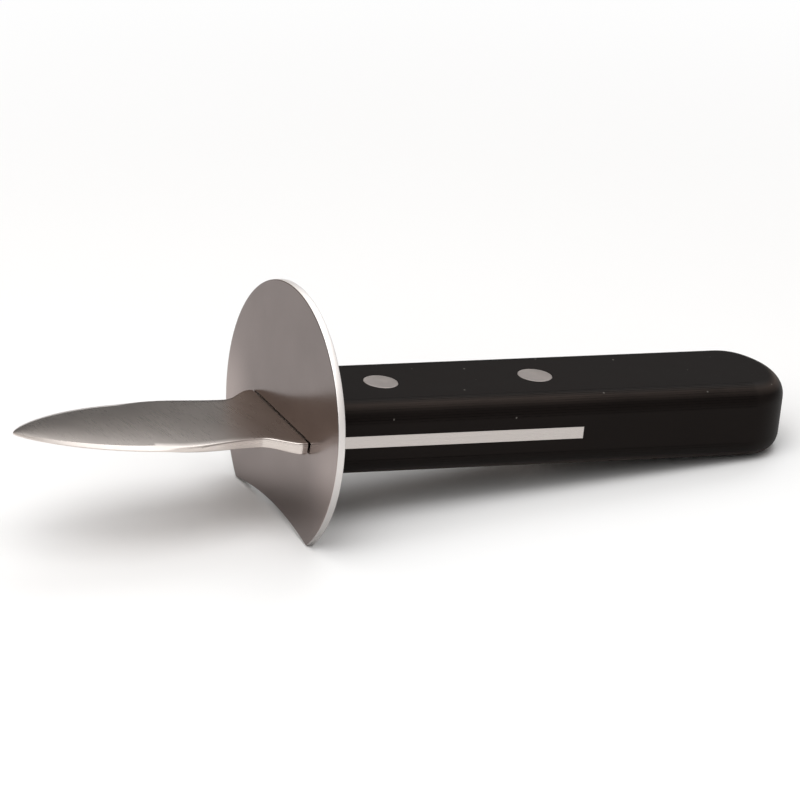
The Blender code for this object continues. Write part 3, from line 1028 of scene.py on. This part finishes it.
def floor_finish(size):
    """A plain pale floor that keeps the knife's shadow and goes over into a white background."""
    material = bpy.data.materials.new("pale_floor")
    material.use_nodes = True
    tree = material.node_tree
    shader = tree.nodes["Principled BSDF"]
    position = add_node(tree, "ShaderNodeTexCoord").outputs["Object"]
    clouds = effect(tree, CLOUDS, position, Scale=6.0)
    feed(tree, shader, Base_Color=toned(tree, clouds, size.floor_colour, FLOOR_TONES))
    feed(tree, shader, Roughness=FLOOR_ROUGHNESS, Specular_IOR_Level=0.0)
    white = add_node(tree, "ShaderNodeEmission")
    either = add_node(tree, "ShaderNodeMixShader")
    sources = (seen_background(tree, position), shader.outputs["BSDF"], white.outputs["Emission"])
    for entry, source in zip(either.inputs, sources):
        connect(tree, entry, source)
    feed(tree, tree.nodes["Material Output"], Surface=either.outputs["Shader"])
    return material


def add_floor(size):
    bm = bmesh.new()
    bmesh.ops.create_circle(bm, cap_ends=True, segments=FLOOR_STEPS, radius=size.floor_radius)
    mesh = bpy.data.meshes.new("floor")
    bm.to_mesh(mesh)
    bm.free()
    mesh.materials.append(floor_finish(size))
    floor = bpy.data.objects.new("floor", mesh)
    bpy.context.scene.collection.objects.link(floor)


def with_card(tree, direction, room, card):
    """The room's colour with a soft round card of light added in one place."""
    toward, edge, core, light = card
    facing = vector_measure(tree, "DOT_PRODUCT", direction, Vector(toward).normalized())
    return blended(tree, ramped(tree, facing, edge, core, "SMOOTHSTEP"), room, light, "ADD")


def add_room(size):
    """The world: a plain room, brightest overhead, with three soft cards that the steel mirrors."""
    world = bpy.data.worlds.new("room")
    bpy.context.scene.world = world
    world.use_nodes = True
    tree = world.node_tree
    direction = add_node(tree, "ShaderNodeTexCoord").outputs["Generated"]
    ramp = add_node(tree, "ShaderNodeValToRGB")
    stops = ramp.color_ramp.elements
    while len(stops) < len(ROOM_TONES):
        stops.new(0.5)
    for stop, (position, tone) in zip(stops, ROOM_TONES):
        stop.position = position
        stop.color = (*grey(tone), 1.0)
    feed(tree, ramp, Fac=vector_measure(tree, "DOT_PRODUCT", direction, ROOM_UP))
    room = blended(tree, 1.0, ramp.outputs["Color"], size.room_colour, "MULTIPLY")
    for card in (BACK_CARD, FRONT_CARD, SIDE_CARD):
        room = with_card(tree, direction, room, card)
    feed(tree, tree.nodes["Background"], Color=room)


def add_soft_box(name, power, side, direction):
    """A large square light that looks at the knife from one direction."""
    light = bpy.data.lights.new(name, "AREA")
    light.shape = "SQUARE"
    light.size = side
    light.energy = power
    box = bpy.data.objects.new(name, light)
    direction = Vector(direction).normalized()
    box.location = direction * BOX_DISTANCE
    box.rotation_euler = direction.to_track_quat("Z", "Y").to_euler()
    bpy.context.scene.collection.objects.link(box)


def add_camera():
    camera = bpy.data.objects.new("camera", bpy.data.cameras.new("camera"))
    camera.location = CAMERA_PLACE
    camera.rotation_euler = [math.radians(turn) for turn in CAMERA_TURN_DEGREES]
    camera.data.lens = LENS_MM
    camera.data.clip_start = CLIP_START
    bpy.context.scene.collection.objects.link(camera)
    bpy.context.scene.camera = camera


# Operators and panel

class OPENER_OT_blade(bpy.types.Operator):
    """Models the blade and its tang"""

    bl_idname = "opener.blade"
    bl_label = "Blade and tang"

    def execute(self, context):
        size = context.scene.opener_blade
        holes = rivet_holes(context.scene.opener_rivets, context.scene.opener_handle)
        bm = carved(blade_shape(size), holes)
        mark_smooth(bm)
        finish_piece(bm, "blade", ground_steel(size), "ground_steel", "blade_and_tang")
        return {"FINISHED"}


class OPENER_OT_guard(bpy.types.Operator):
    """Models the oval guard plate"""

    bl_idname = "opener.guard"
    bl_label = "Guard plate"

    def execute(self, context):
        size = context.scene.opener_guard
        bm = carved(guard_shape(size), [guard_slot(size, context.scene.opener_blade)])
        mark_smooth(bm)
        flatten_faces(bm, "x")
        finish_piece(bm, "guard", guard_steel(size), "guard_steel", "guard_plate")
        return {"FINISHED"}


class OPENER_OT_handle(bpy.types.Operator):
    """Models the slotted handle block"""

    bl_idname = "opener.handle"
    bl_label = "Handle"

    def execute(self, context):
        size = context.scene.opener_handle
        front_x = context.scene.opener_guard.thickness + SEAT_GAP
        slot = handle_slot(size, context.scene.opener_blade)
        bm = carved(handle_shape(size, front_x), [slot, *rivet_holes(context.scene.opener_rivets, size)])
        mark_smooth(bm)
        finish_piece(bm, "handle", black_plastic(size), "black_plastic", "handle_block")
        return {"FINISHED"}


class OPENER_OT_rivets(bpy.types.Operator):
    """Models the two rivets, each a post above and a sleeve below"""

    bl_idname = "opener.rivets"
    bl_label = "Rivets"

    def execute(self, context):
        size = context.scene.opener_rivets
        top = context.scene.opener_handle.half_thickness
        steel = rivet_steel(size)
        for end, centre_x in (("front", size.front_x), ("rear", size.rear_x)):
            for half, profile in (("post", post_profile(size, top)), ("sleeve", sleeve_profile(size, top))):
                bm = round_shape(profile, centre_x, RIVET_STEPS)
                mark_smooth(bm)
                flatten_faces(bm, "z")
                finish_piece(bm, f"{end}_{half}", steel, "rivet_steel", f"{end}_rivet_{half}")
        return {"FINISHED"}


class OPENER_OT_stage(bpy.types.Operator):
    """Sets up the pale floor, the soft light and the camera"""

    bl_idname = "opener.stage"
    bl_label = "Stage"

    def execute(self, context):
        size = context.scene.opener_stage
        add_floor(size)
        add_room(size)
        add_soft_box("key", size.key_power, size.key_size, KEY_DIRECTION)
        add_soft_box("fill", size.fill_power, size.fill_size, FILL_DIRECTION)
        add_camera()
        context.scene.view_settings.view_transform = "Standard"
        return {"FINISHED"}


PIECES = (
    ("opener_blade", BladeSettings, OPENER_OT_blade),
    ("opener_guard", GuardSettings, OPENER_OT_guard),
    ("opener_handle", HandleSettings, OPENER_OT_handle),
    ("opener_rivets", RivetSettings, OPENER_OT_rivets),
    ("opener_stage", StageSettings, OPENER_OT_stage),
)


class OPENER_PT_pieces(bpy.types.Panel):
    bl_label = "Mussel opener"
    bl_space_type = "VIEW_3D"
    bl_region_type = "UI"
    bl_category = "Mussel opener"

    def draw(self, context):
        for name, settings, operator in PIECES:
            box = self.layout.box()
            group = getattr(context.scene, name)
            for setting in settings.__annotations__:
                box.prop(group, setting)
            box.operator(operator.bl_idname)


def register():
    for name, settings, operator in PIECES:
        bpy.utils.register_class(settings)
        setattr(bpy.types.Scene, name, PointerProperty(type=settings))
        bpy.utils.register_class(operator)
    bpy.utils.register_class(OPENER_PT_pieces)


def unregister():
    bpy.utils.unregister_class(OPENER_PT_pieces)
    for name, settings, operator in reversed(PIECES):
        bpy.utils.unregister_class(operator)
        delattr(bpy.types.Scene, name)
        bpy.utils.unregister_class(settings)


def main():
    register()
    bpy.ops.opener.blade()
    bpy.ops.opener.guard()
    bpy.ops.opener.handle()
    bpy.ops.opener.rivets()
    bpy.ops.opener.stage()


if __name__ == "__main__":
    main()
